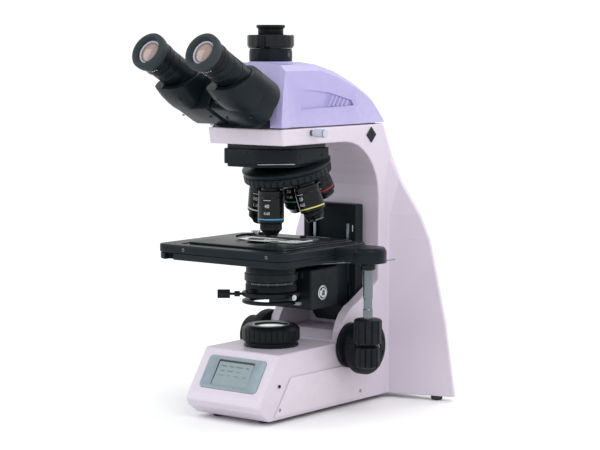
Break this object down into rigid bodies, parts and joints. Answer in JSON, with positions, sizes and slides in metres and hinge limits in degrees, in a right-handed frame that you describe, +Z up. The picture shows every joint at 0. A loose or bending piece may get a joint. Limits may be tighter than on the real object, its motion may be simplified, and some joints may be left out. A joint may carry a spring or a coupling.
{
  "type": "compound microscope",
  "caption": "Trinocular laboratory microscope with a curved arm, inward turret, mechanical stage, swing-out filter ring and a tilted viewing head.",
  "frame": {"origin": "on the surface it stands on, under the middle of its bounding box; the optical axis stands 8.9 mm towards -Y of it", "axes": "+Z up, -Y towards the user, +X towards the stage drive"},
  "size_m": [0.2604, 0.3626, 0.4338],
  "materials": {
    "lilac_paint": "satin",
    "lavender_paint": "satin",
    "black_enamel": "satin",
    "black_rubber": "matte",
    "black_plastic": "satin",
    "steel": "brushed",
    "brass": "satin",
    "optical_glass": "clear",
    "frosted_glass": "frosted",
    "display_glass": "gloss",
    "bezel_grey": "satin"
  },
  "bodies": {
    "stand": {"stand_casting": "lilac_paint", "bottom_plate": "black_enamel", "foot_front_left": "black_rubber", "foot_front_right": "black_rubber", "foot_rear_left": "black_rubber", "foot_rear_right": "black_rubber", "side_cover": "lilac_paint", "power_inlet": "black_plastic", "arm_badge": "black_plastic", "display_bezel": "bezel_grey", "display_glass": "display_glass", "field_flange": "black_enamel", "field_lens": "frosted_glass", "lamp_board": "steel", "guide_cover": "black_enamel", "head_housing": "lavender_paint", "binocular_hub": "black_enamel", "photo_tube": "black_enamel", "clamp_ring": "black_enamel", "nosepiece_mount": "black_enamel"},
    "power_rocker": {"power_rocker": "black_plastic"},
    "brightness_knob": {"brightness_knob": "black_plastic"},
    "field_ring": {"field_ring": "black_enamel"},
    "coarse_drive": {"focus_shaft": "steel", "coarse_knob_left": "black_plastic", "coarse_knob_right": "black_plastic"},
    "fine_left": {"fine_knob_left": "black_plastic"},
    "fine_right": {"fine_knob_right": "black_plastic"},
    "tension_collar": {"tension_collar": "black_plastic"},
    "focus_carrier": {"focus_carrier": "black_enamel"},
    "stage": {"stage_table": "black_enamel", "stage_plate": "black_enamel", "drive_post": "steel"},
    "long_knob": {"long_travel_knob": "black_plastic"},
    "cross_knob": {"cross_travel_knob": "black_plastic"},
    "specimen_carriage": {"specimen_carriage": "steel", "specimen_slide": "optical_glass"},
    "holder_finger": {"holder_finger": "steel"},
    "condenser": {"condenser_carrier": "black_enamel", "condenser_body": "black_enamel"},
    "height_lock": {"height_lock": "steel"},
    "aperture_ring": {"aperture_ring": "black_enamel"},
    "centring_left": {"centring_screw_left": "black_enamel"},
    "centring_right": {"centring_screw_right": "steel"},
    "filter_ring": {"filter_ring": "black_enamel"},
    "turret": {"turret": "black_enamel", "objective_40x": "black_enamel", "objective_10x": "black_enamel", "objective_4x": "black_enamel", "objective_100x": "black_enamel", "objective_20x": "black_enamel"},
    "analyser_slider": {"analyser_slider": "brass"},
    "light_path_rod": {"light_path_rod": "steel"},
    "wing_right": {"prism_wing_right": "black_enamel"},
    "wing_left": {"prism_wing_left": "black_enamel"},
    "tube_right": {"eye_tube_right": "black_enamel"},
    "tube_left": {"eye_tube_left": "black_enamel"},
    "eyepiece_right": {"eyepiece_right": "black_rubber"},
    "eyepiece_left": {"eyepiece_left": "black_rubber"},
    "dust_cap": {"dust_cap": "black_plastic"}
  },
  "joints": [
    {"name": "rocker_tilt", "type": "hinge", "parent": "stand", "child": "power_rocker", "pos_m": [0.012, 0.17851, 0.037], "axis": [1, 0, 0], "range_deg": [-4, 4]},
    {"name": "brightness_turn", "type": "hinge", "parent": "stand", "child": "brightness_knob", "pos_m": [-0.053, 0.0091, 0.048], "axis": [-1, 0, 0], "range_deg": [0, 270]},
    {"name": "field_ring_turn", "type": "hinge", "parent": "stand", "child": "field_ring", "pos_m": [0, -0.0089, 0.09], "axis": [0, 0, 1], "range_deg": [0, 120]},
    {"name": "focus_slide", "type": "slide", "parent": "stand", "child": "focus_carrier", "axis": [0, 0, 1], "range_m": [-0.016, 0.001]},
    {"name": "coarse_turn", "type": "hinge", "parent": "stand", "child": "coarse_drive", "pos_m": [0, 0.0651, 0.072], "axis": [1, 0, 0], "range_deg": [-192, 12]},
    {"name": "fine_left_turn", "type": "hinge", "parent": "stand", "child": "fine_left", "pos_m": [-0.08, 0.0651, 0.072], "axis": [1, 0, 0], "continuous": true},
    {"name": "fine_right_turn", "type": "hinge", "parent": "stand", "child": "fine_right", "pos_m": [0.08, 0.0651, 0.072], "axis": [1, 0, 0], "continuous": true},
    {"name": "tension_turn", "type": "hinge", "parent": "stand", "child": "tension_collar", "pos_m": [0.056, 0.0651, 0.072], "axis": [1, 0, 0], "range_deg": [-90, 90]},
    {"name": "stage_long", "type": "slide", "parent": "focus_carrier", "child": "stage", "axis": [0, 1, 0], "range_m": [-0.02, 0.02]},
    {"name": "long_knob_turn", "type": "hinge", "parent": "stage", "child": "long_knob", "pos_m": [0.108, 0.0271, 0.095], "axis": [0, 0, 1], "range_deg": [-240, 240]},
    {"name": "stage_cross", "type": "slide", "parent": "stage", "child": "specimen_carriage", "axis": [1, 0, 0], "range_m": [-0.025, 0.025]},
    {"name": "cross_knob_turn", "type": "hinge", "parent": "stage", "child": "cross_knob", "pos_m": [0.108, 0.0271, 0.07], "axis": [0, 0, 1], "range_deg": [-301, 301]},
    {"name": "finger_open", "type": "hinge", "parent": "specimen_carriage", "child": "holder_finger", "pos_m": [-0.04, 0.0131, 0.1915], "axis": [0, 0, 1], "range_deg": [-35, 0]},
    {"name": "condenser_slide", "type": "slide", "parent": "focus_carrier", "child": "condenser", "axis": [0, 0, 1], "range_m": [-0.006, 0]},
    {"name": "height_lock_turn", "type": "hinge", "parent": "condenser", "child": "height_lock", "pos_m": [0.031, 0.0451, 0.132], "axis": [1, 0, 0], "range_deg": [0, 180]},
    {"name": "aperture_turn", "type": "hinge", "parent": "condenser", "child": "aperture_ring", "pos_m": [0, -0.0089, 0.143], "axis": [0, 0, 1], "range_deg": [-40, 40]},
    {"name": "centring_left_turn", "type": "hinge", "parent": "condenser", "child": "centring_left", "pos_m": [-0.0236, -0.02742, 0.134], "axis": [-0.7867, -0.6174, 0], "range_deg": [-180, 180]},
    {"name": "centring_right_turn", "type": "hinge", "parent": "condenser", "child": "centring_right", "pos_m": [0.02905, -0.01639, 0.134], "axis": [0.9684, -0.2496, 0], "range_deg": [-180, 180]},
    {"name": "filter_swing", "type": "hinge", "parent": "condenser", "child": "filter_ring", "pos_m": [0.038, -0.0069, 0.126], "axis": [0, 0, 1], "range_deg": [0, 95]},
    {"name": "turret_turn", "type": "hinge", "parent": "stand", "child": "turret", "pos_m": [0, 0.02312, 0.25998], "axis": [0, -0.2419, 0.9703], "continuous": true},
    {"name": "analyser_pull", "type": "slide", "parent": "stand", "child": "analyser_slider", "axis": [-1, 0, 0], "range_m": [0, 0.02]},
    {"name": "light_path_pull", "type": "slide", "parent": "stand", "child": "light_path_rod", "axis": [1, 0, 0], "range_m": [-0.003, 0.012]},
    {"name": "eye_spacing_right", "type": "hinge", "parent": "stand", "child": "wing_right", "pos_m": [0, -0.1719, 0.408], "axis": [0, -0.8829, 0.4695], "range_deg": [0, 42]},
    {"name": "eye_spacing_left", "type": "hinge", "parent": "stand", "child": "wing_left", "pos_m": [0, -0.1719, 0.408], "axis": [0, -0.8829, 0.4695], "range_deg": [-42, 0]},
    {"name": "dioptre_right", "type": "hinge", "parent": "wing_right", "child": "tube_right", "pos_m": [0.0375, -0.1719, 0.408], "axis": [0, -0.8829, 0.4695], "range_deg": [-180, 180]},
    {"name": "dioptre_left", "type": "hinge", "parent": "wing_left", "child": "tube_left", "pos_m": [-0.0375, -0.1719, 0.408], "axis": [0, -0.8829, 0.4695], "range_deg": [-180, 180]},
    {"name": "eyepiece_lift_right", "type": "slide", "parent": "tube_right", "child": "eyepiece_right", "axis": [0, -0.8829, 0.4695], "range_m": [0, 0.03]},
    {"name": "eyepiece_lift_left", "type": "slide", "parent": "tube_left", "child": "eyepiece_left", "axis": [0, -0.8829, 0.4695], "range_m": [0, 0.03]},
    {"name": "dust_cap_lift", "type": "slide", "parent": "stand", "child": "dust_cap", "axis": [0, 0, 1], "range_m": [0, 0.03]}
  ],
  "couplings": [
    {"joint": "coarse_turn", "follows": "focus_slide", "rad_per_m": 209.44},
    {"joint": "long_knob_turn", "follows": "stage_long", "rad_per_m": 209.44},
    {"joint": "cross_knob_turn", "follows": "stage_cross", "rad_per_m": 209.44},
    {"joint": "eye_spacing_left", "follows": "eye_spacing_right", "ratio": -1}
  ]
}
